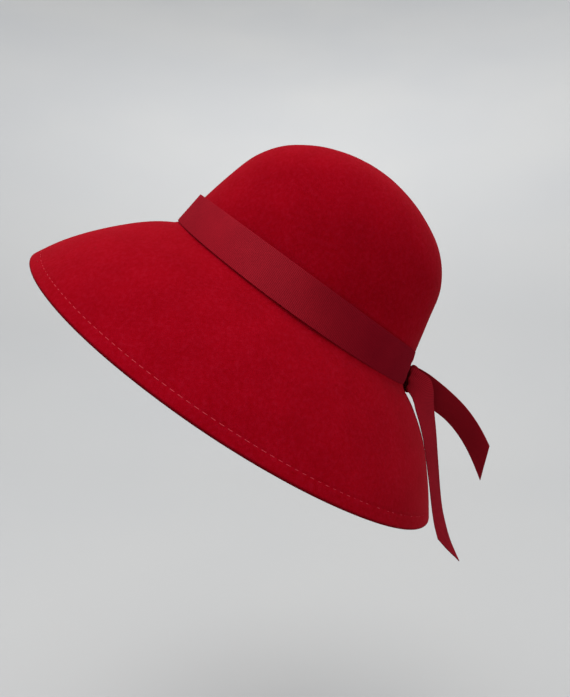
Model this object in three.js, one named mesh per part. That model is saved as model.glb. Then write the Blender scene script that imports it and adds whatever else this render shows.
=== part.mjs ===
// Wide-brim felt hat with a grosgrain ribbon band tied at the back. Millimetres, +Z up.
//
// The hat is held as on a head with the chin up: the wearer faces -Y, the wearer's left is +X,
// and the hat's own axis leans back from the vertical. The origin is the centre of the head
// opening, where the crown meets the brim. The ribbon's two tails hang straight down from the knot.
import * as THREE from 'three';

// ---------------------------------------------------------------- driving dimensions
const LEAN_BACK = THREE.MathUtils.degToRad(36); // the hat's axis, back from the vertical
const FELT = 1.5; // wall of the felt
const HEM_DEPTH = 10; // the brim's edge is turned under by this much
const SIDE_DIP = 2.7; // the head line dips at the sides by this much
const WIDTH_TO_LENGTH = 83 / 102; // of the head's oval
const DIP_FADE_HEIGHT = 60; // the dip has died out at this height on the crown
const BRIM_EASE = 0.8; // how early the brim's slope steepens
const BACK_WAVE = 0.84; // the brim's back rises by this much near the crown and sinks as much beyond
const BACK_WAVE_START = 0.08; // the share of the brim's width where the wave sets in

// level sections of the crown's outside: each is an oval, moved along Y by shift
const CROWN_SECTIONS = [
  { height: 0, halfLength: 102, shift: 0 },
  { height: 24, halfLength: 96.2, shift: -1.2 },
  { height: 50, halfLength: 89.8, shift: -1.4 },
  { height: 74, halfLength: 81.5, shift: -0.6 },
  { height: 93, halfLength: 65.8, shift: -0.6 },
  { height: 107, halfLength: 41.3, shift: -1.2 },
  { height: 115.3, halfLength: 0, shift: -1.8 },
];

// the brim at three places round the head: width along its curve, and its slope in degrees
// below the level where it leaves the crown and at its edge
const BRIM_PLACES = {
  front: { width: 102.2, innerSlope: 29.2, outerSlope: 62.6 },
  side: { width: 99.9, innerSlope: 25.5, outerSlope: 59 },
  back: { width: 97.4, innerSlope: 23.7, outerSlope: 56 },
};

const RIBBON_WIDTH = 24;
const RIBBON = 1.0; // thickness of the ribbon
const BAND_FOOT = 1.8; // the band's lower edge above the head line
// from the felt to the band: it is straight ribbon, so it stands off the crown's lean at its top,
// but the knot draws it in at the back
const BAND_GAPS = {
  foot: { front: 0.9, side: 0.9, back: 0.4 },
  top: { front: 2.6, side: 2.3, back: 0.5 },
};

const KNOT = {
  width: 13,
  depth: 5.4,
  height: 16,
  clearance: 0.6, // from the band
  centreHeight: 9, // above the head line
  lean: THREE.MathUtils.degToRad(13),
  waist: 0.86, // its narrowest width, as a share of its width
  ends: 0.65, // its section at the top and bottom, as a share of its full section
  squareness: 0.7, // 1 is an oval section, less is squarer
  fullness: 8, // the higher, the closer to its top and bottom it starts to close
};

// each tail's centre line and the direction across the ribbon, from the knot to the cut end;
// wide is the ribbon's width there, gathered at the knot
const NEAR_TAIL = [
  { at: [10.4, 87.6, -54.0], across: [-0.38, 0.28, 0.88], wide: 18 },
  { at: [11.8, 91.2, -56.6], across: [-0.53, 0.49, 0.7], wide: 21 },
  { at: [13.0, 95.4, -60.6], across: [-0.55, 0.67, 0.5], wide: 23 },
  { at: [13.9, 97.3, -66.5], across: [-0.66, 0.71, 0.26], wide: 24 },
  { at: [14.4, 98.2, -73.9], across: [-0.73, 0.67, 0.11], wide: 24 },
  { at: [14.4, 100.2, -83.7], across: [-0.79, 0.61, 0.07], wide: 24 },
  { at: [13.9, 102.6, -96.3], across: [-0.83, 0.55, 0.08], wide: 24 },
  { at: [13.4, 104.6, -111.1], across: [-0.85, 0.51, 0.09], wide: 24 },
  { at: [12.2, 107.0, -128.9], across: [-0.87, 0.47, 0.16], wide: 24 },
  { at: [10.7, 109.2, -145.5], across: [-0.88, 0.45, 0.19], wide: 24 },
  { at: [9.4, 111.6, -159.5], across: [-0.88, 0.43, 0.2], wide: 24 },
  { at: [8.1, 114.4, -170.2], across: [-0.89, 0.42, 0.19], wide: 24 },
  { at: [6.9, 119.2, -185.6], across: [-0.89, 0.41, 0.2], wide: 24 },
  { at: [5.6, 126.6, -202.8], across: [-0.88, 0.41, 0.22], wide: 24 },
];
const FAR_TAIL = [
  { at: [-9.6, 90.9, -55.3], across: [0.3, 0.18, 0.93], wide: 18 },
  { at: [-9.7, 96.3, -58.9], across: [0.46, 0.24, 0.85], wide: 22 },
  { at: [-10.5, 104.0, -64.9], across: [0.51, 0.33, 0.79], wide: 24 },
  { at: [-11.3, 115.3, -74.1], across: [0.57, 0.46, 0.68], wide: 24 },
  { at: [-12.3, 127.2, -84.8], across: [0.68, 0.52, 0.52], wide: 24 },
  { at: [-13.4, 136.7, -96.5], across: [0.75, 0.55, 0.37], wide: 24 },
  { at: [-14.3, 144.7, -109.5], across: [0.8, 0.54, 0.27], wide: 24 },
  { at: [-15.1, 150.9, -122.3], across: [0.83, 0.52, 0.21], wide: 24 },
  { at: [-15.7, 155.6, -133.6], across: [0.85, 0.5, 0.18], wide: 24 },
  { at: [-16.1, 158.6, -141.1], across: [0.85, 0.49, 0.17], wide: 24 },
];
const CUT_SLANT = { near: 28, far: -32 }; // how much longer the ribbon is at its far edge
const TAIL_CAMBER = 0.7; // the ribbon is cupped across its width by this much

// ---------------------------------------------------------------- mesh density
const TURNS = 72; // steps round the hat
const CROWN_ROWS = { outside: 13, inside: 10 };
const BRIM_ROWS = { outside: 9, inside: 7 };
const ROWS_TO_THE_TOP = 1.15; // above 1, the crown's rows lie closer at its top
const CORNER = 4; // the crown turns into the brim within this distance of the head line
const CORNER_ROWS = 3;
const RIM_ROWS = 4;
const TAIL_ROWS = 26;
const RIBBON_COLUMNS = 4;
const KNOT_ROWS = 8;
const KNOT_TURNS = 16;

const FELT_RED = new THREE.MeshStandardMaterial({ color: 0x92101f, roughness: 0.95, metalness: 0 });
const RIBBON_RED = new THREE.MeshStandardMaterial({ color: 0x841522, roughness: 0.7, metalness: 0 });

// ---------------------------------------------------------------- helpers
// A closed surface through rings of points, all with the same count. The ends are:
// 'joined', the last ring to the first; 'flat', each across its own ring, whose second half runs
// back beside its first; or a list of two points, one that each end closes on.
function loft(rings, ends) {
  const count = rings[0].length;
  const points = rings.flat();
  const faces = [];
  const quad = (a, b, c, d) => faces.push(a, b, c, a, c, d);
  const seams = ends === 'joined' ? rings.length : rings.length - 1;
  for (let row = 0; row < seams; row++) {
    const next = (row + 1) % rings.length;
    for (let i = 0; i < count; i++) {
      const j = (i + 1) % count;
      quad(row * count + i, row * count + j, next * count + j, next * count + i);
    }
  }
  const last = (rings.length - 1) * count;
  if (ends === 'flat') {
    for (let i = 0; i < count / 2 - 1; i++) {
      const back = count - 1 - i;
      quad(i, back, back - 1, i + 1);
      quad(last + i, last + i + 1, last + back - 1, last + back);
    }
  } else if (ends !== 'joined') {
    points.push(...ends);
    for (let i = 0; i < count; i++) {
      const j = (i + 1) % count;
      faces.push(points.length - 2, j, i, points.length - 1, last + i, last + j);
    }
  }
  const geometry = new THREE.BufferGeometry().setFromPoints(points);
  geometry.setIndex(volume(points, faces) > 0 ? faces : faces.reverse());
  geometry.computeVertexNormals();
  return geometry;
}

// the signed volume that the faces enclose, positive when they point out
function volume(points, faces) {
  let sum = 0;
  for (let i = 0; i < faces.length; i += 3) {
    const [a, b, c] = [points[faces[i]], points[faces[i + 1]], points[faces[i + 2]]];
    sum += a.dot(new THREE.Vector3().crossVectors(b, c)) / 6;
  }
  return sum;
}

// evenly spaced angles round a full turn
function turns(count) {
  return Array.from({ length: count }, (_, i) => (i / count) * 2 * Math.PI);
}

function middle(ring) {
  const sum = ring.reduce((total, point) => total.add(point), new THREE.Vector3());
  return sum.divideScalar(ring.length);
}

// a value given at the front, side and back, at the angle turn from the front
function around(places, turn) {
  const mean = (places.front + places.back) / 2;
  return places.side + (places.front - places.back) / 2 * Math.cos(turn)
    + (mean - places.side) * Math.cos(turn) ** 2;
}

function brimAt(turn, name) {
  const { front, side, back } = BRIM_PLACES;
  return around({ front: front[name], side: side[name], back: back[name] }, turn);
}

// ---------------------------------------------------------------- the felt's outside
const topSection = CROWN_SECTIONS[CROWN_SECTIONS.length - 1];
const beforeTop = CROWN_SECTIONS[CROWN_SECTIONS.length - 2];
const crownCurve = new THREE.CatmullRomCurve3([
  ...CROWN_SECTIONS.map((s) => new THREE.Vector3(s.halfLength, s.shift, s.height)),
  // the section past the top, so that the crown is level there
  new THREE.Vector3(-beforeTop.halfLength, 2 * topSection.shift - beforeTop.shift, beforeTop.height),
], false, 'centripetal');
const CROWN_SHARE = (CROWN_SECTIONS.length - 1) / CROWN_SECTIONS.length; // of the curve, up to the top

// share runs from 0 at the head line to 1 at the top of the crown
function crownPoint(turn, share) {
  const section = crownCurve.getPoint(share * CROWN_SHARE);
  const fade = Math.max(0, 1 - section.z / DIP_FADE_HEIGHT) ** 2;
  return new THREE.Vector3(
    section.x * WIDTH_TO_LENGTH * Math.sin(turn),
    section.y - section.x * Math.cos(turn),
    section.z - SIDE_DIP * Math.sin(turn) ** 2 * fade,
  );
}

// the level direction out of the head's oval
function outward(turn) {
  return new THREE.Vector3(Math.sin(turn) / WIDTH_TO_LENGTH, -Math.cos(turn), 0).normalize();
}

// how far the brim's skin is lifted at its back, at a share of its width
function backWave(turn, share) {
  const backness = Math.max(0, -Math.cos(turn)) ** 4;
  const onset = 1 - Math.exp(-((share / BACK_WAVE_START) ** 2));
  return BACK_WAVE * backness * onset * Math.sin(2 * Math.PI * share ** BRIM_EASE);
}

// distance runs from 0 at the head line to the brim's width there
function brimPoint(turn, distance) {
  const width = brimAt(turn, 'width');
  const inner = THREE.MathUtils.degToRad(brimAt(turn, 'innerSlope'));
  const outer = THREE.MathUtils.degToRad(brimAt(turn, 'outerSlope'));
  const steps = 24;
  let [out, down] = [0, 0];
  for (let i = 0; i < steps; i++) {
    const slope = inner + (outer - inner) * ((i + 0.5) / steps * distance / width) ** BRIM_EASE;
    out += Math.cos(slope) * distance / steps;
    down += Math.sin(slope) * distance / steps;
  }
  const wave = backWave(turn, distance / width);
  const slope = inner + (outer - inner) * (distance / width) ** BRIM_EASE;
  const point = crownPoint(turn, 0)
    .addScaledVector(outward(turn), out + wave * Math.sin(slope));
  point.z += wave * Math.cos(slope) - down;
  return point;
}

// directions into the hat, square to its outside
function brimInside(turn, distance) {
  const step = 0.01;
  const along = brimPoint(turn, distance + step).sub(brimPoint(turn, distance));
  const round = brimPoint(turn + step, distance).sub(brimPoint(turn, distance));
  return along.cross(round).normalize().negate();
}

function crownInside(turn, share) {
  const step = 0.001;
  const along = crownPoint(turn, share).sub(crownPoint(turn, share + step));
  const round = crownPoint(turn + step, share).sub(crownPoint(turn, share));
  return along.cross(round).normalize().negate();
}

const CROWN_FOOT = CORNER / CROWN_SECTIONS[1].height / (CROWN_SECTIONS.length - 1); // as a share

// the crown's shares at its rows, from its foot to just under its top
function crownShares(rows) {
  return Array.from({ length: rows - 1 }, (_, i) => (
    1 + (CROWN_FOOT - 1) * ((rows - 1 - i) / rows) ** ROWS_TO_THE_TOP));
}

// points at one turn on the crown or the brim, sunk into the felt by depth
function crownSunk(turn, share, depth) {
  return crownPoint(turn, share).addScaledVector(crownInside(turn, share), depth);
}
function brimSunk(turn, distance, depth) {
  return brimPoint(turn, distance).addScaledVector(brimInside(turn, distance), depth);
}

// the rounded turn from crown to brim
function cornerLine(turn, depth) {
  const [above, below] = [crownInside(turn, 0), brimInside(turn, 0)];
  const mitre = above.clone().add(below).divideScalar(1 + above.dot(below));
  return new THREE.QuadraticBezierCurve3(
    crownSunk(turn, CROWN_FOOT, depth),
    crownPoint(turn, 0).addScaledVector(mitre, depth),
    brimSunk(turn, CORNER, depth),
  ).getPoints(CORNER_ROWS);
}

// ---------------------------------------------------------------- felt body
// The felt's section at one turn: down its outside from the crown's top to the brim's edge,
// round the fold there, and back up its inside, two layers thick over the hem.
function feltLine(turn) {
  const edge = brimAt(turn, 'width') - FELT;
  const hemFoot = edge - HEM_DEPTH;
  const line = crownShares(CROWN_ROWS.outside).reverse().map((share) => crownPoint(turn, share));
  line.push(...cornerLine(turn, 0));
  for (let i = 1; i <= BRIM_ROWS.outside; i++) {
    line.push(brimPoint(turn, CORNER + (edge - CORNER) * i / BRIM_ROWS.outside));
  }
  const fold = brimPoint(turn, edge);
  const down = brimPoint(turn, edge + FELT).sub(fold).normalize();
  for (let k = 1; k < RIM_ROWS; k++) {
    const angle = (k / RIM_ROWS) * Math.PI;
    line.push(fold.clone()
      .addScaledVector(brimInside(turn, edge), FELT * (1 - Math.cos(angle)))
      .addScaledVector(down, FELT * Math.sin(angle)));
  }
  for (const share of [0, 0.5, 1]) {
    line.push(brimSunk(turn, edge - (HEM_DEPTH - FELT) * share, 2 * FELT));
  }
  for (let k = 0; k < BRIM_ROWS.inside; k++) {
    line.push(brimSunk(turn, hemFoot + (CORNER - hemFoot) * k / BRIM_ROWS.inside, FELT));
  }
  line.push(...cornerLine(turn, FELT).reverse());
  line.push(...crownShares(CROWN_ROWS.inside).map((share) => crownSunk(turn, share, FELT)));
  return line;
}

function feltBody() {
  const lines = turns(TURNS).map(feltLine);
  const rings = lines[0].map((_, row) => lines.map((line) => line[row]));
  const top = crownPoint(0, 1);
  return loft(rings, [top, top.clone().setZ(top.z - FELT)]);
}

// ---------------------------------------------------------------- ribbon
// The band is straight ribbon round the crown's foot: it touches below and stands off above.
function ribbonBand() {
  const foot = sectionShare(BAND_FOOT);
  const head = sectionShare(BAND_FOOT + RIBBON_WIDTH);
  const corners = [
    { share: foot, gaps: BAND_GAPS.foot, depth: 0 },
    { share: head, gaps: BAND_GAPS.top, depth: 0 },
    { share: head, gaps: BAND_GAPS.top, depth: RIBBON },
    { share: foot, gaps: BAND_GAPS.foot, depth: RIBBON },
  ];
  const rings = corners.map(({ share, gaps, depth }) => turns(TURNS).map((turn) => (
    crownPoint(turn, share).addScaledVector(outward(turn), around(gaps, turn) + depth))));
  return loft(rings, 'joined');
}

// the share of the crown's curve at a height in its lowest part
function sectionShare(height) {
  let [low, high] = [0, 0.5];
  for (let i = 0; i < 40; i++) {
    const mid = (low + high) / 2;
    if (crownCurve.getPoint(mid * CROWN_SHARE).z < height) low = mid;
    else high = mid;
  }
  return low;
}

// A soft wrap of ribbon over the crossing, waisted a little at its middle.
function ribbonKnot() {
  const square = (value) => Math.sign(value) * Math.abs(value) ** KNOT.squareness;
  const rings = [];
  for (let row = 0; row <= KNOT_ROWS; row++) {
    const rise = (row / KNOT_ROWS) * 2 - 1;
    const full = KNOT.ends + (1 - KNOT.ends) * Math.sqrt(1 - rise ** KNOT.fullness);
    const waist = KNOT.waist + (1 - KNOT.waist) * rise ** 2;
    rings.push(turns(KNOT_TURNS).map((angle) => new THREE.Vector3(
      KNOT.width / 2 * waist * full * square(Math.sin(angle)),
      KNOT.depth / 2 * full * square(Math.cos(angle)),
      KNOT.height / 2 * rise,
    )));
  }
  return loft(rings, [middle(rings[0]), middle(rings[KNOT_ROWS])]);
}

// A tail: a strip of ribbon along its centre line, cupped across, with a slanting cut end.
function ribbonTail(rows, slant) {
  const curve = (points) => new THREE.CatmullRomCurve3(points, false, 'centripetal');
  const centre = curve(rows.map((row) => new THREE.Vector3(...row.at)));
  const across = curve(rows.map((row) => new THREE.Vector3(...row.across)));
  const widths = curve(rows.map((row) => new THREE.Vector3(row.wide, 0, 0)));
  const length = centre.getLength();

  // the middle of the ribbon's thickness; place runs across it from -0.5 to 0.5
  const middlePoint = (share, place) => {
    const cut = 1 + (slant * (place - 0.5 * Math.sign(slant))) / length;
    const t = Math.min(1, Math.max(0, share * cut));
    const side = across.getPoint(t).normalize();
    const face = centre.getTangent(t).cross(side).normalize();
    return centre.getPoint(t)
      .addScaledVector(side, place * Math.min(RIBBON_WIDTH, widths.getPoint(t).x))
      .addScaledVector(face, TAIL_CAMBER * (1 - 4 * place ** 2));
  };
  const normalAt = (share, place) => {
    const step = 0.01;
    const along = middlePoint(share + step, place).sub(middlePoint(share - step, place));
    const side = middlePoint(share, place + step).sub(middlePoint(share, place - step));
    return along.cross(side).normalize();
  };
  const rings = [];
  for (let row = 0; row <= TAIL_ROWS; row++) {
    const [face, back] = [[], []];
    for (let column = 0; column <= RIBBON_COLUMNS; column++) {
      const [share, place] = [row / TAIL_ROWS, column / RIBBON_COLUMNS - 0.5];
      const [point, normal] = [middlePoint(share, place), normalAt(share, place)];
      face.push(point.clone().addScaledVector(normal, RIBBON / 2));
      back.unshift(point.clone().addScaledVector(normal, -RIBBON / 2));
    }
    rings.push([...face, ...back]);
  }
  return loft(rings, 'flat');
}

// ---------------------------------------------------------------- assembly
function named(name, geometry, material) {
  const mesh = new THREE.Mesh(geometry, material);
  mesh.name = name;
  return mesh;
}

const hat = new THREE.Group();
hat.rotation.x = -LEAN_BACK;
hat.add(named('felt_body', feltBody(), FELT_RED));
hat.add(named('ribbon_band', ribbonBand(), RIBBON_RED));
const knot = named('ribbon_knot', ribbonKnot(), RIBBON_RED);
const crownBack = crownPoint(Math.PI, sectionShare(KNOT.centreHeight)).y;
const bandBack = Math.max(BAND_GAPS.foot.back, BAND_GAPS.top.back) + RIBBON;
knot.position.set(0, crownBack + bandBack + KNOT.clearance + KNOT.depth / 2, KNOT.centreHeight);
knot.rotation.x = KNOT.lean;
hat.add(knot);

const object = new THREE.Group();
object.add(hat);
object.add(named('ribbon_tail_near', ribbonTail(NEAR_TAIL, CUT_SLANT.near), RIBBON_RED));
object.add(named('ribbon_tail_far', ribbonTail(FAR_TAIL, CUT_SLANT.far), RIBBON_RED));

export default object;
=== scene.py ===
"""Wide-brim felt hat with a grosgrain ribbon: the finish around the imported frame. Blender 4.5.

Shapes are worked out in the hat's own frame, in millimetres: the origin is the centre of the
head opening, +Z goes up the hat's axis, the wearer faces -Y and the wearer's left is +X.
"turn" is the angle round the hat, 0 at the front and a quarter turn at +X.
"""
import math

import bpy
import numpy as np
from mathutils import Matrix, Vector


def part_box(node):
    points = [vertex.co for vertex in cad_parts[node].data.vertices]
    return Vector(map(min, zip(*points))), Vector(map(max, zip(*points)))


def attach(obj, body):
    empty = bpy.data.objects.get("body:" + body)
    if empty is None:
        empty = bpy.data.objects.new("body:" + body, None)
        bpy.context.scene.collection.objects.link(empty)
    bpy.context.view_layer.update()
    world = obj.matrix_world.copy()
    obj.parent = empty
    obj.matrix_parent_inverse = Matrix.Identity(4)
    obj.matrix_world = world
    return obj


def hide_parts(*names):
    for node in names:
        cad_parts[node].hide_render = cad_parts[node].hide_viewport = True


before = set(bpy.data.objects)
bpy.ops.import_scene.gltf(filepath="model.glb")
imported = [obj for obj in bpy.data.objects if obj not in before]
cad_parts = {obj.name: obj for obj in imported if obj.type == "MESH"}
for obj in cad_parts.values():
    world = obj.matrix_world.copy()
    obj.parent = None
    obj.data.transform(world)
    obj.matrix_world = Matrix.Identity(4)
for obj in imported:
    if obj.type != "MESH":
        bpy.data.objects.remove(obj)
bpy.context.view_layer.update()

MM = 0.001
FULL_TURN = 2 * math.pi
BODY = "root"

# ------------------------------------------------------------- the felt's driving dimensions
LEAN_BACK = math.radians(36)  # the hat's axis, back from the vertical
FELT = 1.5  # wall of the felt
HEM_DEPTH = 10  # the brim's edge is turned under by this much
SIDE_DIP = 2.7  # the head line dips at the sides by this much
DIP_FADE_HEIGHT = 60
WIDTH_TO_LENGTH = 83 / 102  # of the head's oval
BRIM_EASE = 0.8  # how early the brim's slope steepens
BACK_WAVE = 0.84  # the brim's back rises by this much near the crown and sinks as much beyond
BACK_WAVE_START = 0.08  # the share of the brim's width where the wave sets in
CORNER = 4  # the crown turns into the brim within this distance of the head line

# level sections of the crown's outside: half length, shift along Y, height
CROWN_SECTIONS = [
    (102, 0, 0),
    (96.2, -1.2, 24),
    (89.8, -1.4, 50),
    (81.5, -0.6, 74),
    (65.8, -0.6, 93),
    (41.3, -1.2, 107),
    (0, -1.8, 115.3),
]

# the brim at three places round the head: width, and slope in degrees at the crown and the edge
BRIM_PLACES = {
    "front": {"width": 102.2, "inner": 29.2, "outer": 62.6},
    "side": {"width": 99.9, "inner": 25.5, "outer": 59},
    "back": {"width": 97.4, "inner": 23.7, "outer": 56},
}

# the felt's slow waves: height, waves round the hat, waves per metre of profile, phase
UNEVENNESS = [
    (0.22, 3, 13, 0.4),
    (0.16, 5, -9, 2.1),
    (0.12, 8, 19, 4.0),
    (0.08, 13, -27, 1.2),
]
CALM_RADIUS = 55  # they fade towards the crown's top within this radius

# ------------------------------------------------------------- the stitches
STITCHES = 192
STITCH_INSET = 8.5  # from the brim's edge
STITCH_SHARE = 0.74  # of a stitch's pitch, that shows as thread
THREAD = 0.48  # thickness
THREAD_RISE = 0.55  # of its thickness, from a stitch's ends to its middle
THREAD_ROOT = 0.35  # of its thickness, that a stitch's ends lie below the nap
THREAD_TAPER = 0.97  # the thread is round-ended; at 1 its ends would close to a point
SLACK_STEP = 2.4  # the stitches differ in slack, which turns by this much from each to the next
SLACK_SHORTENS = 0.08  # of the pitch, at full slack
SLACK_SINKS = 0.06
DEEPEST = 0.27  # the stitches sink this far at the front and the back
SHALLOWER = 0.22  # and less by this much beside the head
SHALLOW_PLACE = 0.15  # the cosine of the turn where they lie highest
SHALLOW_REACH = 0.5  # and how far from it they do
GROOVE_DEPTH = 0.2  # the felt is drawn down along the stitches
GROOVE_PULL = 0.14  # and by this much more at the middle of each
GROOVE_WIDTH = 1.1

# ------------------------------------------------------------- the ribbon's driving dimensions
RIBBON_WIDTH = 24
RIBBON = 0.5  # thickness of the cloth between its ribs
RIB_PITCH = 1.1
RIB_HEIGHT = 0.13
ROWS_A_RIB = 4
RIBBON_BORDER = 0.012  # share of the width beside each edge, so that only the edge is rounded
BAND_FOOT = 1.8
# from the felt to the band's middle: straight ribbon stands off the crown's lean at its top, but
# the knot draws it in at the back, into the felt
BAND_GAPS = {
    "foot": {"front": 1.3, "side": 1.3, "back": 0.1},
    "top": {"front": 3.0, "side": 2.7, "back": 0.1},
}
BAND_PRESS = 0.5  # how far the felt gives under the band at the back
PRESS_REACH = 0.8  # radians from the back, where the press has faded
PRESS_BORDER = 1.2  # it sets in this far past the band's edges
GATHER_REACH = 11  # the band is drawn together within this distance of the knot
GATHER_SHARE = 0.32
PLEAT_REACH = 14
BAND_PLEATS = 3
BAND_PLEAT_DEPTH = 0.5
WAVER_START = 60  # the band's top edge wavers from about this far from the knot
WAVERS = [(0.16, 5, 0.6), (0.1, 11, 2.0)]  # depth, waves round the hat, phase

KNOT_CENTRE_HEIGHT = 9
KNOT_LEAN = math.radians(17)
KNOT_SHIFT = (0, 0.3, -1.8)  # from the solid knot's middle, level with the world
KNOT_HALF = {"width": 6.5, "depth": 2.6, "height": 9.6}
KNOT_WAIST = 0.84  # the wrap's width at its middle, as a share of that at its ends
KNOT_SKEW = 0.08
KNOT_PLEATS = 4
KNOT_PLEAT_DEPTH = 0.8
KNOT_PLEAT_PHASE = 0.4
KNOT_PLEAT_DRIFT = 0.5  # the pleats wander by this phase round the wrap
KNOT_SQUARENESS = {"depth": 0.75, "height": 0.8}  # 1 is an oval loop, less is squarer
KNOT_BORDER_DROP = 1.1  # the wrap's two borders turn in by this much

# each tail from inside the knot to its cut end: centre line, direction across, width. Most rows
# were printed by a program that fitted a ribbon to the photo; the root and the tip are given one by
# one
NEAR_TAIL = [
    ((3.0, 90.2, -54.0), (-0.1, 0.2, 0.97), 11),
    ((7.0, 89.2, -53.8), (-0.24, 0.24, 0.94), 14),
    ((10.4, 87.6, -54.0), (-0.38, 0.28, 0.88), 18),
    ((11.8, 91.2, -56.6), (-0.53, 0.49, 0.7), 21),
    ((13.0, 95.4, -60.6), (-0.55, 0.67, 0.5), 23),
    ((13.9, 97.3, -66.5), (-0.66, 0.71, 0.26), 24),
    ((14.4, 98.2, -73.9), (-0.73, 0.67, 0.11), 24),
    ((14.4, 100.2, -83.7), (-0.79, 0.61, 0.07), 24),
    ((13.9, 102.6, -96.3), (-0.83, 0.55, 0.08), 24),
    ((13.4, 104.6, -111.1), (-0.85, 0.51, 0.09), 24),
    ((12.2, 107.0, -128.9), (-0.87, 0.47, 0.16), 24),
    ((10.7, 109.2, -145.5), (-0.88, 0.45, 0.19), 24),
    ((9.4, 111.6, -159.5), (-0.88, 0.43, 0.2), 24),
    ((8.1, 114.4, -170.2), (-0.89, 0.42, 0.19), 24),
    ((6.9, 119.2, -185.6), (-0.89, 0.41, 0.2), 24),
    ((5.5, 127.4, -204.6), (-0.88, 0.41, 0.22), 24),
]
FAR_TAIL = [
    ((-2.6, 90.0, -54.2), (0.05, 0.2, 0.97), 11),
    ((-6.4, 89.4, -54.3), (0.16, 0.2, 0.96), 14),
    ((-9.6, 90.9, -55.3), (0.3, 0.18, 0.93), 18),
    ((-9.7, 96.3, -58.9), (0.46, 0.24, 0.85), 22),
    ((-10.5, 104.0, -64.9), (0.51, 0.33, 0.79), 24),
    ((-11.3, 115.3, -74.1), (0.57, 0.46, 0.68), 24),
    ((-12.3, 127.2, -84.8), (0.68, 0.52, 0.52), 24),
    ((-13.4, 136.7, -96.5), (0.75, 0.55, 0.37), 24),
    ((-14.3, 144.7, -109.5), (0.8, 0.54, 0.27), 24),
    ((-15.1, 150.9, -122.3), (0.83, 0.52, 0.21), 24),
    ((-15.7, 155.6, -133.6), (0.85, 0.5, 0.18), 24),
    ((-16.1, 158.6, -141.1), (0.85, 0.49, 0.17), 24),
]
CUT_SLANT = {"near": 35.8, "far": -32}  # how far one border outreaches the other at the cut
TAIL_CAMBER = 0.7
TAIL_PLEATS = 2.5
TAIL_PLEAT_DEPTH = 0.75
TAIL_PLEAT_PHASE = 0.5
TAIL_GATHER_REACH = 13

# ------------------------------------------------------------- looks
FOLD_LAYER = "fold"  # a value on the felt's mesh: 1 along the brim's folded edge, where shade is painted
FOLD_SHADE = 0.42  # painted shade: the brim's folded edge is darker than the rest of the felt by this factor
BAND_REACH = 0.1  # metres from the middle of the crown to just past the band's front and back
# painted sheen and shade on the band, from the front (0) to the back (1), that these lights don't
# give:
# lighter at the front middle and darker towards the knot; it suits this view alone, and a real
# ribbon has one dye
BAND_PAINTED_SHEEN = [
    (0.1, (0.76, 0.75, 0.75)),
    (0.28, (1.12, 1.15, 1.15)),
    (0.38, (1.2, 1.5, 1.38)),
    (0.48, (1.19, 1.5, 1.38)),
    (0.57, (1.05, 1.05, 1.05)),
    (0.66, (0.88, 0.75, 0.85)),
    (0.76, (0.77, 0.5, 0.72)),
    (0.95, (0.77, 0.5, 0.72)),
]
WHITE = (1.0, 1.0, 1.0)

# ------------------------------------------------------------- stage
FLOOR = -450.0  # the surface under the hat, at the height of a head stand's foot
FLOOR_RADIUS = 900.0  # flat this far out
FLOOR_BEND = 1400.0  # radius of the bend from the floor into the slope
FLOOR_SLOPE = math.radians(40)
FLOOR_RIM = 6500.0


# ------------------------------------------------------------- curves and surfaces
def unit(vectors):
    return vectors / np.linalg.norm(vectors, axis=-1, keepdims=True)


def lengths_along(points):
    """How long a line of points is up to each of them; for rows of points, down each column."""
    steps = np.linalg.norm(np.diff(points, axis=0), axis=-1)
    return np.concatenate([np.zeros((1, *steps.shape[1:])), np.cumsum(steps, axis=0)])


def smooth_step(value):
    value = np.clip(value, 0, 1)
    return value * value * (3 - 2 * value)


def bell(value):
    """1 at zero, fading smoothly to both sides of it."""
    return np.exp(-value ** 2)


def spline(points, share):
    """Centripetal Catmull-Rom through the points, at shares from 0 to 1 of its spans."""
    knots = np.asarray(points, float)
    spans = len(knots) - 1
    place = np.asarray(share, float) * spans
    span = np.clip(np.floor(place).astype(int), 0, spans - 1)
    w = (place - span)[..., None]
    padded = np.concatenate([[2 * knots[0] - knots[1]], knots, [2 * knots[-1] - knots[-2]]])
    p0, p1, p2, p3 = (padded[span + k] for k in range(4))

    def step(a, b):
        return np.maximum(np.linalg.norm(b - a, axis=-1, keepdims=True), 1e-6) ** 0.5

    a, b, c = step(p0, p1), step(p1, p2), step(p2, p3)
    leave = ((p1 - p0) / a - (p2 - p0) / (a + b) + (p2 - p1) / b) * b
    arrive = ((p2 - p1) / b - (p3 - p1) / (b + c) + (p3 - p2) / c) * b
    blend = smooth_step(w)
    return p1 * (1 - blend) + p2 * blend + leave * w * (1 - w) ** 2 - arrive * w * w * (1 - w)


def around(places, turn):
    """A value given at the front, side and back, at any turn."""
    mean = (places["front"] + places["back"]) / 2
    swing = (places["front"] - places["back"]) / 2
    return places["side"] + swing * np.cos(turn) + (mean - places["side"]) * np.cos(turn) ** 2


def brim_at(turn, name):
    return around({place: row[name] for place, row in BRIM_PLACES.items()}, turn)


def crown_section(share):
    """Half length, shift and height of the crown's section, from the head line (share 0) to the
    top (share 1)."""
    (half, shift, height), (_, top_shift, _) = CROWN_SECTIONS[-2], CROWN_SECTIONS[-1]
    past_the_top = (-half, 2 * top_shift - shift, height)
    rows = CROWN_SECTIONS + [past_the_top]
    return spline(rows, np.asarray(share, float) * (len(rows) - 2) / (len(rows) - 1))


def section_share(height):
    """The share of the crown's curve at a height in its lower half."""
    shares = np.linspace(0, 0.5, 4001)
    return float(np.interp(height, crown_section(shares)[:, 2], shares))


def crown_point(turn, share):
    half, shift, height = np.moveaxis(crown_section(share), -1, 0)
    fade = np.maximum(0, 1 - height / DIP_FADE_HEIGHT) ** 2
    return np.stack(np.broadcast_arrays(
        half * WIDTH_TO_LENGTH * np.sin(turn),
        shift - half * np.cos(turn),
        height - SIDE_DIP * np.sin(turn) ** 2 * fade,
    ), -1)


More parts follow.
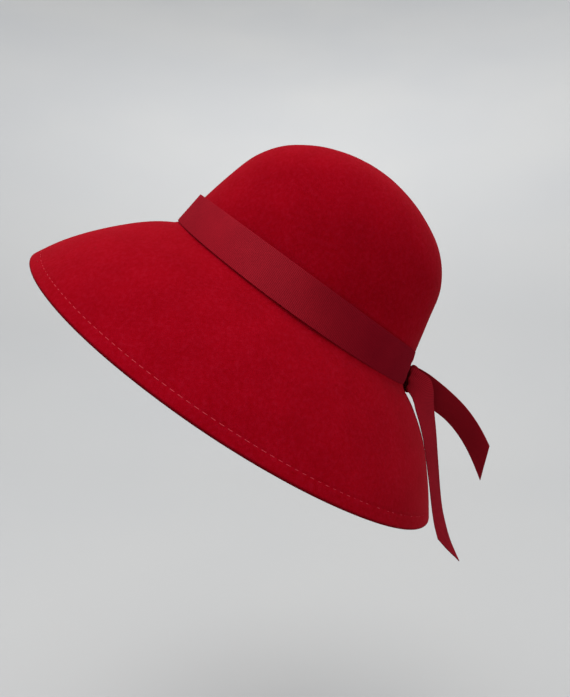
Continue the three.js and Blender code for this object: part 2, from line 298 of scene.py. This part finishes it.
def outward(turn):
    """The level direction out of the head's oval."""
    turn = np.asarray(turn, float)
    return unit(np.stack([np.sin(turn) / WIDTH_TO_LENGTH, -np.cos(turn), 0 * turn], -1))


def back_wave(turn, share):
    """How far the brim's skin is lifted at its back, at a share of its width."""
    backness = np.maximum(0, -np.cos(turn)) ** 4
    onset = 1 - bell(share / BACK_WAVE_START)
    return BACK_WAVE * backness * onset * np.sin(FULL_TURN * share ** BRIM_EASE)


def brim_point(turn, distance):
    """The brim's top at a distance from the head line, along its curve."""
    turn, distance = np.broadcast_arrays(np.asarray(turn, float), np.asarray(distance, float))
    width = brim_at(turn, "width")
    inner, outer = np.radians(brim_at(turn, "inner")), np.radians(brim_at(turn, "outer"))
    steps = 24
    middles = (np.arange(steps) + 0.5) / steps
    reach = (distance / width)[..., None] * middles
    slopes = inner[..., None] + (outer - inner)[..., None] * np.maximum(reach, 0) ** BRIM_EASE
    out = np.cos(slopes).mean(-1) * distance
    down = np.sin(slopes).mean(-1) * distance
    share = np.maximum(distance / width, 0)
    wave = back_wave(turn, share)
    slope = inner + (outer - inner) * share ** BRIM_EASE
    point = crown_point(turn, np.zeros_like(turn))
    point += outward(turn) * (out + wave * np.sin(slope))[..., None]
    point[..., 2] += wave * np.cos(slope) - down
    return point


def lean(points, angle):
    """Points tipped back about the X axis."""
    x, y, z = np.moveaxis(np.asarray(points, float), -1, 0)
    c, s = math.cos(angle), math.sin(angle)
    return np.stack([x, c * y + s * z, c * z - s * y], -1)


def to_world(points):
    """From the hat's frame, in millimetres, to the row frame, still in millimetres."""
    return lean(points, LEAN_BACK)


# ------------------------------------------------------------- mesh building
def add_object(name, data):
    thing = bpy.data.objects.new(name, data)
    bpy.context.scene.collection.objects.link(thing)
    return thing


def add_mesh(name, points, faces, material):
    """A smooth mesh through points in world millimetres."""
    mesh = bpy.data.meshes.new(name)
    mesh.from_pydata((np.asarray(points) * MM).tolist(), [], faces)
    mesh.materials.append(material)
    mesh.shade_smooth()
    return add_object(name, mesh)


def loft(name, rings, material, joined=False, tips=None, uv=None):
    """A mesh through closed rings of points in world millimetres. joined closes the last ring
    on the first; otherwise the two ends are fans on tips, or on the end rings' middles.
    uv is (along the rows, round the ring), each with one value more than there are points."""
    rows, count = rings.shape[:2]
    points = rings.reshape(-1, 3)
    seams = rows if joined else rows - 1
    i, j = np.meshgrid(np.arange(seams), np.arange(count), indexing="ij")
    below, beside = (i + 1) % rows, (j + 1) % count
    corners = [i * count + j, i * count + beside, below * count + beside, below * count + j]
    faces = np.stack(corners, -1).reshape(-1, 4).tolist()
    if not joined:
        ends = tips if tips is not None else [rings[0].mean(0), rings[-1].mean(0)]
        points = np.concatenate([points, ends])
        first, last = rows * count, (rows - 1) * count
        faces += [[first, (k + 1) % count, k] for k in range(count)]
        faces += [[first + 1, last + k, last + (k + 1) % count] for k in range(count)]
    flipped = signed_volume(rings, joined) < 0
    if flipped:
        faces = [face[::-1] for face in faces]
    piece = add_mesh(name, points, faces, material)
    if uv is not None:
        set_uv(piece.data, uv, seams, count, flipped)
    return piece


def signed_volume(rings, joined):
    """A coarse signed volume of a loft, which says whether its faces point out."""
    if joined:
        rings = np.concatenate([rings, rings[:1]])
    rings = rings - rings.reshape(-1, 3).mean(0)
    beside = np.roll(rings, -1, 1)
    a, b, c, d = rings[:-1], beside[:-1], beside[1:], rings[1:]
    return (a * np.cross(b, c)).sum() + (a * np.cross(c, d)).sum()


def set_uv(mesh, uv, seams, count, flipped):
    """Metres along the rows in U and round the ring in V, with a clean seam."""
    along, across = (np.asarray(values, float) * MM for values in uv)
    i, j = np.meshgrid(np.arange(seams), np.arange(count), indexing="ij")
    corners = [(i, j), (i, j + 1), (i + 1, j + 1), (i + 1, j)]
    places = np.stack([np.stack([along[row], across[column]], -1) for row, column in corners], 2)
    if flipped:
        places = places[:, :, ::-1]
    values = np.zeros((len(mesh.loops), 2))
    values[: places.size // 2] = places.reshape(-1, 2)
    layer = mesh.uv_layers.new(name="metres")
    layer.data.foreach_set("uv", values.ravel().astype(np.float32))


def normals_of(grid, wrap_columns=True):
    """Unit normals of a grid of points, rows by columns."""
    down = np.gradient(grid, axis=0)
    if wrap_columns:
        side = np.roll(grid, -1, 1) - np.roll(grid, 1, 1)
    else:
        side = np.gradient(grid, axis=1)
    return unit(np.cross(side, down))


# ------------------------------------------------------------- materials
def set_inputs(node, **values):
    """Default values of a node's inputs; an underscore stands for a space in the name."""
    for name, value in values.items():
        node.inputs[name.replace("_", " ")].default_value = value


class Nodes:
    """A node tree. Each method adds a node and gives back what comes out of it."""

    def __init__(self, tree):
        self.tree = tree

    def add(self, kind):
        return self.tree.nodes.new(kind)

    def link(self, source, target):
        self.tree.links.new(source, target)

    def object_place(self):
        return self.add("ShaderNodeTexCoord").outputs["Object"]

    def part_of(self, vector, axis):
        node = self.add("ShaderNodeSeparateXYZ")
        self.link(vector, node.inputs[0])
        return node.outputs[axis]

    def maths(self, operation, value, other):
        node = self.add("ShaderNodeMath")
        node.operation = operation
        self.link(value, node.inputs[0])
        node.inputs[1].default_value = other
        return node.outputs[0]

    def noise(self, place, scale, detail, roughness=0.5):
        node = self.add("ShaderNodeTexNoise")
        set_inputs(node, Scale=scale, Detail=detail, Roughness=roughness)
        self.link(place, node.inputs["Vector"])
        return node.outputs["Fac"]

    def ramp(self, value, stops):
        """A colour for each place along a value."""
        node = self.add("ShaderNodeValToRGB")
        elements = node.color_ramp.elements
        while len(elements) < len(stops):
            elements.new(0.5)
        for element, (place, colour) in zip(elements, stops):
            element.position = place
            element.color = (*colour, 1)
        self.link(value, node.inputs["Fac"])
        return node.outputs["Color"]

    def multiply(self, colour, *others):
        """One colour multiplied by each of the others in turn."""
        for other in others:
            node = self.add("ShaderNodeMix")
            node.data_type = "RGBA"
            node.blend_type = "MULTIPLY"
            factor, first, second = node.inputs[0], node.inputs[6], node.inputs[7]
            factor.default_value = 1.0
            self.link(colour, first)
            self.link(other, second)
            colour = node.outputs[2]
        return colour

    def bump(self, height, distance, strength, below=None):
        node = self.add("ShaderNodeBump")
        set_inputs(node, Strength=strength, Distance=distance)
        self.link(height, node.inputs["Height"])
        if below is not None:
            self.link(below, node.inputs["Normal"])
        return node.outputs["Normal"]


def new_material(name):
    """A material, its nodes and its shader."""
    material = bpy.data.materials.new(name)
    material.use_nodes = True
    return material, Nodes(material.node_tree), material.node_tree.nodes["Principled BSDF"]


def felt_material():
    """Matte wool felt: a fine mottle of matted fibres over soft, larger clouds, with painted shade
    along the brim's folded edge.
    """
    material, nodes, shader = new_material("red_wool_felt")
    place = nodes.object_place()
    clouds = nodes.noise(place, scale=38, detail=2)
    mottle = nodes.noise(place, scale=400, detail=3, roughness=0.65)
    fibres = nodes.noise(place, scale=1500, detail=2, roughness=0.6)
    base = nodes.ramp(clouds, [
        (0.3, (0.258, 0.0005, 0.0057)),
        (0.7, (0.288, 0.0007, 0.0068)),
    ])
    speckle = nodes.ramp(mottle, [
        (0.25, (0.91, 0.1, 0.55)),
        (0.5, WHITE),
        (0.78, (1.09, 4.8, 1.9)),
    ])
    fold = nodes.add("ShaderNodeAttribute")
    fold.attribute_name = FOLD_LAYER
    # painted shade along the brim's folded edge
    fold_painted_shade = nodes.ramp(fold.outputs["Fac"], [
        (0.0, WHITE),
        (1.0, (FOLD_SHADE, FOLD_SHADE, FOLD_SHADE)),
    ])
    nodes.link(nodes.multiply(base, speckle, fold_painted_shade), shader.inputs["Base Color"])
    rough = nodes.bump(mottle, distance=0.0005, strength=0.35)
    fine = nodes.bump(fibres, distance=0.0002, strength=0.4, below=rough)
    nodes.link(fine, shader.inputs["Normal"])
    set_inputs(shader, Roughness=1.0, Specular_IOR_Level=0.02, Sheen_Weight=0.12,
               Sheen_Roughness=0.4, Sheen_Tint=(1.0, 0.1, 0.14, 1))
    return material


def front_to_back(nodes, stops):
    """Painted sheen and shade, changing from BAND_REACH in front of the crown's middle to as far
    behind it.
    """
    share = nodes.add("ShaderNodeMapRange")
    set_inputs(share, From_Min=-BAND_REACH, From_Max=BAND_REACH)
    nodes.link(nodes.part_of(nodes.object_place(), "Y"), share.inputs["Value"])
    return nodes.ramp(share.outputs["Result"], stops)


def grosgrain_material(name, depth=None):
    """Ribbed ribbon: each rib is a round cord under fine warp threads. depth is the painted sheen
    and shade, lighter at the front of the hat and darker at its back."""
    material, nodes, shader = new_material(name)
    place = nodes.add("ShaderNodeUVMap").outputs["UV"]
    pitch = RIB_PITCH * MM
    off_groove = nodes.maths("PINGPONG", nodes.part_of(place, "X"), pitch / 2)
    rib_height = nodes.maths("MULTIPLY", off_groove, 2 / pitch)
    warp = nodes.add("ShaderNodeMapping")
    set_inputs(warp, Scale=(500, 3200, 1))
    nodes.link(place, warp.inputs["Vector"])
    threads = nodes.noise(warp.outputs["Vector"], scale=1.0, detail=2)
    clouds = nodes.noise(nodes.object_place(), scale=60, detail=2)
    base = nodes.ramp(clouds, [
        (0.3, (0.262, 0.0070, 0.0148)),
        (0.7, (0.290, 0.0080, 0.0164)),
    ])
    # painted shade in the grooves between the ribs and painted highlight on their tops
    painted_rib_shade = nodes.ramp(rib_height, [
        (0.0, (0.6, 0.54, 0.56)),
        (0.45, WHITE),
        (1.0, (1.12, 1.16, 1.16)),
    ])
    weave = nodes.ramp(threads, [
        (0.3, (0.92, 0.92, 0.92)),
        (0.7, (1.07, 1.1, 1.1)),
    ])
    # painted sheen and shade: lighter at the band's front, darker towards the knot
    painted_sheen = [front_to_back(nodes, depth)] if depth else []
    colour = nodes.multiply(base, painted_rib_shade, *painted_sheen, weave)
    nodes.link(colour, shader.inputs["Base Color"])
    nodes.link(nodes.bump(threads, distance=0.00006, strength=0.5), shader.inputs["Normal"])
    set_inputs(shader, Roughness=0.6, Specular_IOR_Level=0.0, Sheen_Weight=0.025,
               Sheen_Roughness=0.5, Sheen_Tint=(1.0, 0.5, 0.6, 1))
    return material


def thread_material():
    """Sewing thread, a shade lighter than the felt."""
    material, nodes, shader = new_material("red_thread")
    twist = nodes.noise(nodes.object_place(), scale=2600, detail=1)
    colour = nodes.ramp(twist, [
        (0.3, (0.44, 0.026, 0.044)),
        (0.7, (0.58, 0.044, 0.064)),
    ])
    nodes.link(colour, shader.inputs["Base Color"])
    nodes.link(nodes.bump(twist, distance=0.0001, strength=0.6), shader.inputs["Normal"])
    set_inputs(shader, Roughness=0.6, Specular_IOR_Level=0.06)
    return material


def stage_material():
    """Pale, plain and matte, with the least unevenness."""
    material, nodes, shader = new_material("pale_stage")
    patches = nodes.noise(nodes.object_place(), scale=1.1, detail=2)
    colour = nodes.ramp(patches, [
        (0.35, (0.445, 0.448, 0.452)),
        (0.65, (0.465, 0.465, 0.462)),
    ])
    nodes.link(colour, shader.inputs["Base Color"])
    set_inputs(shader, Roughness=0.9, Specular_IOR_Level=0.1)
    return material


# ------------------------------------------------------------- felt
TURN_COLUMNS = 3 * STITCHES
CROWN_ROWS = 54
CROWN_ROW_EASE = 1.1  # sets the rows closer at the crown's top
CORNER_ROWS = 7
PLAIN_ROWS = 21
SEAM_ROWS = 14  # close rows, for the groove
SEAM_FROM_EDGE = (STITCH_INSET + 4, STITCH_INSET - 3.5)  # where they start and end
RIM_ROWS = 4
FOLD_ROWS = 8
STITCH_ROW = 10  # the stitches follow this row, counted from the fold
STEP_ROWS = 14  # rows that the inside keeps past the hem's step; beyond, it has every other one


def even_turns(count, distance_in):
    """Turns that are evenly spaced along a line at a distance in from the brim's edge."""
    fine = np.linspace(0, FULL_TURN, 4097)
    length = lengths_along(brim_point(fine, brim_at(fine, "width") - distance_in))
    return np.interp(np.arange(count) / count * length[-1], length, fine)


def rows_past(start, end, count):
    """A column of even places from just past the start to the end."""
    return np.linspace(start, end, count + 1)[1:, None]


def felt_skin(turns):
    """The felt's outside, top of the crown to the start of the rim's fold: points, the distance
    along the profile from the head line (negative up the crown), and the distance to the edge."""
    crown_foot = CORNER / CROWN_SECTIONS[1][2] / (len(CROWN_SECTIONS) - 1)
    down_the_crown = (np.arange(1, CROWN_ROWS) / CROWN_ROWS) ** CROWN_ROW_EASE
    crown = crown_point(turns, (1 + (crown_foot - 1) * down_the_crown)[:, None])

    start = crown_point(turns, np.full_like(turns, crown_foot))
    bend = crown_point(turns, np.zeros_like(turns))
    end = brim_point(turns, CORNER)
    w = np.linspace(0, 1, CORNER_ROWS)[:, None, None]
    corner = start * (1 - w) ** 2 + 2 * bend * w * (1 - w) + end * w ** 2

    width = brim_at(turns, "width")
    seam_start, seam_end = SEAM_FROM_EDGE
    plain = CORNER + (width - seam_start - CORNER) * rows_past(0, 1, PLAIN_ROWS)
    seam = width - rows_past(seam_start, seam_end, SEAM_ROWS)
    rim = width - rows_past(seam_end, FELT, RIM_ROWS)
    brim = brim_point(turns, np.concatenate([plain, seam, rim]))

    grid = np.concatenate([crown, corner, brim])
    along = lengths_along(grid)
    along -= along[len(crown) + len(corner) // 2]
    return grid, along, width - along


def unevenness(turns, along, grid):
    """Slow waves in the felt, fading at the crown's top, where the turns run together."""
    height = np.zeros_like(along)
    for size, around_count, waves_per_metre, phase in UNEVENNESS:
        along_phase = waves_per_metre * MM * along * FULL_TURN
        height += size * np.sin(around_count * turns + along_phase + phase)
    radius = np.linalg.norm(grid[..., :2], axis=-1)
    return height * np.clip(radius / CALM_RADIUS, 0, 1) ** 2


def band_press(turns, grid):
    """The felt gives under the band where the knot pulls it tight, at the back."""
    off_back = np.arccos(np.clip(-np.cos(turns), -1, 1))
    past_foot = grid[..., 2] - (BAND_FOOT - PRESS_BORDER)
    below_top = BAND_FOOT + RIBBON_WIDTH + PRESS_BORDER - grid[..., 2]
    under_band = smooth_step(past_foot / 2) * smooth_step(below_top / 2)
    return -BAND_PRESS * bell(off_back / PRESS_REACH) * under_band


def stitch_groove(edge_distance):
    """The felt is drawn down along the stitches, most at the middle of each one."""
    columns = edge_distance.shape[1]
    pull = GROOVE_DEPTH + GROOVE_PULL * np.cos(FULL_TURN * np.arange(columns) * STITCHES / columns)
    return -pull * bell((edge_distance - STITCH_INSET) / GROOVE_WIDTH)


def rim_fold(edge, tangent, normal):
    """The felt folded under at the brim's edge: half a round from the top layer to the hem."""
    angles = np.linspace(0, math.pi, FOLD_ROWS + 2)[1:-1, None, None]
    return edge - normal * FELT * (1 - np.cos(angles)) + tangent * FELT * np.sin(angles)


def felt_inside(skin, normal, lift, groove, edge_distance):
    """The underside from the fold to the crown's top: a hem two layers deep, a step, then one
    layer, on fewer rows than the outside has."""
    hem = edge_distance.mean(1) < HEM_DEPTH
    layers = np.where(hem, 2 * FELT, FELT)[:, None]
    drawn_up = np.where(hem[:, None], -groove, 0)
    inside = (skin + normal * (lift - layers + drawn_up)[..., None])[::-1]
    keep = np.ones(len(inside), bool)
    keep[-2:] = False
    keep[hem.sum() + STEP_ROWS::2] = False
    return inside[keep]


def mark_fold(piece, first_row, row_count):
    """Write FOLD_LAYER on the felt, the mask of the painted shade: 1 on the rim's folded rows, less
    on the first two.
    """
    points = len(piece.data.vertices)
    folded = np.zeros(points)
    strength = np.minimum(1, np.arange(1, row_count + 1) / 3)
    start = first_row * TURN_COLUMNS
    folded[start:start + row_count * TURN_COLUMNS] = np.repeat(strength, TURN_COLUMNS)
    layer = piece.data.attributes.new(FOLD_LAYER, "FLOAT", "POINT")
    layer.data.foreach_set("value", folded.astype(np.float32))


def felt_hat(material):
    """The whole felt, one closed wall. Gives back the two lines that the stitches follow, above
    and below the hem, and the skin's direction along them."""
    turns = even_turns(TURN_COLUMNS, STITCH_INSET)
    skin, along, edge_distance = felt_skin(turns)
    normal = normals_of(skin)
    if (normal[0, :, 2] < 0).any():
        normal = -normal
    lift = unevenness(turns, along, skin) + band_press(turns, skin)
    groove = stitch_groove(edge_distance)
    outside = skin + normal * (lift + groove)[..., None]
    edge = skin[-1] + normal[-1] * lift[-1][:, None]
    fold = rim_fold(edge, unit(skin[-1] - skin[-2]), normal[-1])
    inside = felt_inside(skin, normal, lift, groove, edge_distance)
    top = crown_point(0.0, 1.0)
    piece = loft("felt_hat", to_world(np.concatenate([outside, fold, inside])), material,
                 tips=to_world(np.array([top, top - [0, 0, FELT]])))
    mark_fold(piece, len(outside), len(fold))
    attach(piece, BODY)
    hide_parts("felt_body")
    seam = len(skin) - 1 - STITCH_ROW
    under = outside[seam] - normal[seam] * (2 * FELT + 2 * groove[seam])[:, None]
    return outside[seam], under, normal[seam]


# ------------------------------------------------------------- stitches
def stitch_depths(columns):
    """How deep each column's thread lies in the nap."""
    turns = np.arange(columns) * FULL_TURN / columns
    return DEEPEST - SHALLOWER * bell((np.cos(turns) - SHALLOW_PLACE) / SHALLOW_REACH)


def stitch_threads(name, line, normal, material):
    """One row of stitches: short threads that rise out of the felt and dive back in."""
    sides, rings_each = 6, 9
    count = len(line)
    depths = stitch_depths(count)
    angles = np.arange(sides) * FULL_TURN / sides
    ring_place = np.linspace(-1, 1, rings_each)
    arch = THREAD * (THREAD_RISE * (1 - ring_place ** 4) - THREAD_ROOT)
    plump = np.sqrt(1 - (THREAD_TAPER * ring_place) ** 6)
    verts, faces = [], []
    for stitch in range(STITCHES):
        slack = 0.5 + 0.5 * math.sin(stitch * SLACK_STEP)
        reach = (STITCH_SHARE - SLACK_SHORTENS * slack) / 2 * count / STITCHES
        places = stitch * count / STITCHES + reach * ring_place
        low = np.floor(places).astype(int)
        w = (places - low)[:, None]
        points = line[low % count] * (1 - w) + line[(low + 1) % count] * w
        up = unit(normal[low % count] * (1 - w) + normal[(low + 1) % count] * w)
        points = points + up * (arch - depths[low % count] - SLACK_SINKS * slack)[:, None]
        forward = unit(np.gradient(points, axis=0))
        side = unit(np.cross(up, forward))
        other = np.cross(forward, side)
        base = len(verts)
        for k in range(rings_each):
            rim = side[k] * np.cos(angles)[:, None] + other[k] * np.sin(angles)[:, None]
            verts.extend(points[k] + rim * THREAD / 2 * plump[k])
        for k in range(rings_each - 1):
            for m in range(sides):
                a, b = base + k * sides + m, base + k * sides + (m + 1) % sides
                faces.append((a, b, b + sides, a + sides))
        faces.append(tuple(base + m for m in reversed(range(sides))))
        faces.append(tuple(base + (rings_each - 1) * sides + m for m in range(sides)))
    piece = add_mesh(name, to_world(np.array(verts)), faces, material)
    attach(piece, BODY)


# ------------------------------------------------------------- ribbon
def ribs(along):
    """Height of the round cross ribs at a distance along the ribbon."""
    return RIB_HEIGHT * (np.abs(np.sin(math.pi * along / RIB_PITCH)) - 0.5)


def skin_offset(through, along):
    """From the ribbon's middle to its skin: through is +0.5 on the face and -0.5 on the back."""
    return through * (RIBBON + 2 * ribs(along))


def strip_section(columns):
    """Across and through places of a closed ring round a flat strip: across -0.5 to 0.5, and
    through +0.5 on the face, -0.5 on the back."""
    border = 0.5 - RIBBON_BORDER
    across = np.concatenate([[-0.5], np.linspace(-border, border, columns - 1), [0.5]])
    through = np.repeat([0.5, -0.5], columns + 1)
    return np.concatenate([across, across[::-1]]), through


def round_strip(across):
    """Distances round a strip's ring, for its UV."""
    return np.concatenate([(across + 0.5) * RIBBON_WIDTH, [0]])


def band_edge(turns, height, gaps):
    """One edge of the band: a line round the crown at a height, off the felt by the gaps."""
    felt = crown_point(turns, np.full(len(turns), section_share(height)))
    return felt + outward(turns) * around(gaps, turns)[:, None]


def ribbon_band(material):
    """The straight ribbon round the crown's foot: snug below, standing off above."""
    fine = np.linspace(0, FULL_TURN, 8193)
    middle = crown_point(fine, section_share(BAND_FOOT + RIBBON_WIDTH / 2)) + outward(fine) * 2
    length = lengths_along(middle)
    total = length[-1]
    rib_count = round(total / RIB_PITCH)
    rows = rib_count * ROWS_A_RIB
    along = np.arange(rows) / rows * total
    turns = np.interp(along, length, fine)
    across, through = strip_section(14)

    low = band_edge(turns, BAND_FOOT, BAND_GAPS["foot"])
    high = band_edge(turns, BAND_FOOT + RIBBON_WIDTH, BAND_GAPS["top"])
    face = unit(np.cross(high - low, np.gradient(low, axis=0)))
    face *= np.sign((face * outward(turns)).sum(-1, keepdims=True))

    from_knot = np.abs(along - total / 2)
    gathered = GATHER_SHARE * bell(from_knot / GATHER_REACH)
    pleat_depth = BAND_PLEAT_DEPTH * bell(from_knot / PLEAT_REACH)
    waves = sum(depth * np.sin(count * turns + phase) for depth, count, phase in WAVERS)
    waver = (1 - bell(from_knot / WAVER_START)) * waves
    knot_place = (KNOT_CENTRE_HEIGHT - BAND_FOOT) / RIBBON_WIDTH
    even_ribs = along * rib_count * RIB_PITCH / total  # a whole number of them round the band
    rings = []
    for place, side in zip(across + 0.5, through):
        drawn = place + (knot_place - place) * gathered
        pleat = pleat_depth * (1 - math.cos(FULL_TURN * BAND_PLEATS * place))
        out = skin_offset(side, even_ribs) + waver * place ** 2 + pleat
        rings.append(low + (high - low) * drawn[:, None] + face * out[:, None])
    rings = to_world(np.array(rings).transpose(1, 0, 2))
    piece = loft("grosgrain_band", rings, material, joined=True,
                 uv=(np.append(along, total), round_strip(across)))
    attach(piece, BODY)
    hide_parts("ribbon_band")


def ribbon_tail(name, node, rows, slant, material):
    """A hanging end of the ribbon: gathered where it leaves the knot, cupped, cut at a slant."""
    centres, sides, widths = zip(*rows)
    widths = [(width, 0, 0) for width in widths]
    fine = np.linspace(0, 1, 2001)
    length = lengths_along(spline(centres, fine))
    total = length[-1]
    across, through = strip_section(16)
    share = np.linspace(0, 1, int(total / RIB_PITCH) * ROWS_A_RIB + 1)[:, None]
    longer = slant * (across - 0.5 * np.sign(slant)) / total
    arc = np.minimum(share * (1 + longer), 1) * total
    t = np.interp(arc, length, fine)

    centre = spline(centres, t)
    ahead = np.minimum(t + 0.002, 1)
    tangent = unit(spline(centres, ahead) - spline(centres, ahead - 0.004))
    side = unit(spline(sides, t))
    face = unit(np.cross(tangent, side))
    wide = np.minimum(RIBBON_WIDTH, spline(widths, t)[..., 0])
    pleat = TAIL_PLEAT_DEPTH * bell(arc / TAIL_GATHER_REACH)
    pleat = pleat * np.cos(FULL_TURN * TAIL_PLEATS * across + TAIL_PLEAT_PHASE)
    cup = TAIL_CAMBER * (1 - 4 * across ** 2) + pleat
    middle = centre + side * (across * wide)[..., None] + face * cup[..., None]

    half = across.size // 2
    one_face = normals_of(middle[:, :half], wrap_columns=False)
    normal = np.concatenate([one_face, one_face[:, ::-1]], 1)
    normal *= np.sign((normal * face).sum(-1, keepdims=True))
    grid = middle + normal * skin_offset(through, arc)[..., None]
    piece = loft(name, grid, material, uv=(share[:, 0] * total, round_strip(across)))
    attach(piece, BODY)
    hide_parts(node)


def signed_power(value, power):
    return np.sign(value) * np.abs(value) ** power


def knot_wrap(material):
    """The pass of ribbon over the crossing: pleated, pulled tight, closed on itself behind."""
    low, high = (np.array(corner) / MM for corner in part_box("ribbon_knot"))
    centre = (low + high) / 2 + KNOT_SHIFT
    loop = np.linspace(0, FULL_TURN, 193)[:-1]
    y = KNOT_HALF["depth"] * signed_power(np.cos(loop), KNOT_SQUARENESS["depth"])
    z = KNOT_HALF["height"] * signed_power(np.sin(loop), KNOT_SQUARENESS["height"])
    path = np.stack([y, z], -1)
    length = lengths_along(np.append(path, path[:1], 0))
    tangent = unit(np.roll(path, -1, 0) - np.roll(path, 1, 0))
    normal = np.stack([tangent[:, 1], -tangent[:, 0]], -1)
    across, through = strip_section(56)
    waist = KNOT_WAIST + (1 - KNOT_WAIST) * (z / KNOT_HALF["height"]) ** 2
    turned_in = KNOT_BORDER_DROP * (2 * np.abs(across)) ** 4
    rings = []
    for k, angle in enumerate(loop):
        phase = KNOT_PLEAT_PHASE + KNOT_PLEAT_DRIFT * math.sin(angle)
        fold = KNOT_PLEAT_DEPTH * np.cos(FULL_TURN * KNOT_PLEATS * across + phase)
        out = fold + skin_offset(through, length[k]) - turned_in
        x = across * 2 * KNOT_HALF["width"] * waist[k] + KNOT_SKEW * z[k]
        rings.append(np.stack([x, y[k] + normal[k, 0] * out, z[k] + normal[k, 1] * out], -1))
    rings = lean(rings, LEAN_BACK - KNOT_LEAN) + centre
    piece = loft("ribbon_knot_wrap", rings, material, joined=True, uv=(length, round_strip(across)))
    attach(piece, BODY)
    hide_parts("ribbon_knot")


# ------------------------------------------------------------- stage, light and camera
def stage_bowl(material):
    """A pale floor that rises far behind the object on all sides, as a wide dish."""
    flat_rings, bend_rings, sides = 3, 16, 96
    profile = [(FLOOR_RADIUS * k / flat_rings, 0.0) for k in range(1, flat_rings + 1)]
    for k in range(1, bend_rings + 1):
        angle = FLOOR_SLOPE * k / bend_rings
        profile.append((FLOOR_RADIUS + FLOOR_BEND * math.sin(angle),
                        FLOOR_BEND * (1 - math.cos(angle))))
    radius, height = profile[-1]
    profile.append((FLOOR_RIM, height + (FLOOR_RIM - radius) * math.tan(FLOOR_SLOPE)))
    around_it = np.linspace(0, FULL_TURN, sides + 1)[:-1]
    verts = [(0, 0, FLOOR)]
    for radius, height in profile:
        verts += [(radius * math.cos(a), radius * math.sin(a), FLOOR + height) for a in around_it]
    faces = [(0, 1 + k, 1 + (k + 1) % sides) for k in range(sides)]
    for row in range(len(profile) - 1):
        for k in range(sides):
            a, b = 1 + row * sides + k, 1 + row * sides + (k + 1) % sides
            faces.append((a, a + sides, b + sides, b))
    add_mesh("stage_bowl", verts, faces, material)


def aim(thing, place, target):
    thing.location = place
    thing.rotation_euler = (Vector(target) - Vector(place)).to_track_quat("-Z", "Y").to_euler()


def area_light(name, place, target, size, power, colour):
    data = bpy.data.lights.new(name, "AREA")
    data.shape = "DISK"
    data.size = size
    data.energy = power
    data.color = colour
    aim(add_object(name, data), place, target)


def dome_light(colour, low, high, towards, sharpness):
    """Soft light from all round, brightest in one direction."""
    world = bpy.data.worlds.new("soft_room")
    world.use_nodes = True
    nodes = Nodes(world.node_tree)
    facing = nodes.add("ShaderNodeVectorMath")
    facing.operation = "DOT_PRODUCT"
    nodes.link(nodes.add("ShaderNodeTexCoord").outputs["Generated"], facing.inputs[0])
    facing.inputs[1].default_value = Vector(towards).normalized()
    in_front = nodes.maths("MAXIMUM", facing.outputs["Value"], 0.0)
    glow = nodes.maths("MULTIPLY", nodes.maths("POWER", in_front, sharpness), high - low)
    background = world.node_tree.nodes["Background"]
    set_inputs(background, Color=(*colour, 1))
    nodes.link(nodes.maths("ADD", glow, low), background.inputs["Strength"])
    bpy.context.scene.world = world


def add_camera(place, target, lens):
    data = bpy.data.cameras.new("view")
    data.lens = lens
    data.sensor_width = 36
    data.clip_start = 0.02
    camera = add_object("view", data)
    aim(camera, place, target)
    bpy.context.scene.camera = camera


# ------------------------------------------------------------- the whole
add_camera(place=(0.4459, 0.0100, 0.0163), target=(0, -0.00485, -0.03319), lens=30.68)

felt = felt_material()
# the band's grosgrain carries painted sheen and shade from front to back
band_grosgrain = grosgrain_material("red_grosgrain_band", BAND_PAINTED_SHEEN)
grosgrain = grosgrain_material("red_grosgrain")
thread = thread_material()

seam_top, seam_under, seam_normal = felt_hat(felt)
knot_wrap(grosgrain)
ribbon_band(band_grosgrain)
ribbon_tail("ribbon_end_near", "ribbon_tail_near", NEAR_TAIL, CUT_SLANT["near"], grosgrain)
ribbon_tail("ribbon_end_far", "ribbon_tail_far", FAR_TAIL, CUT_SLANT["far"], grosgrain)
stitch_threads("brim_stitches_top", seam_top, seam_normal, thread)
stitch_threads("brim_stitches_under", seam_under, -seam_normal, thread)

stage_bowl(stage_material())
dome_light((0.97, 0.985, 1.0), low=0.2, high=2.5, towards=(0.08, -0.12, 0.97), sharpness=3.2)
area_light("key", place=(0.3, -0.42, 1.9), target=(0, 0, -0.03), size=1.5, power=17,
           colour=(1.0, 0.98, 0.95))
area_light("backdrop", place=(-1.2, 0, 2.2), target=(-4.2, 0, 1.9), size=1.4, power=31,
           colour=(1.0, 1.0, 1.0))
bpy.context.scene.view_settings.view_transform = "Standard"
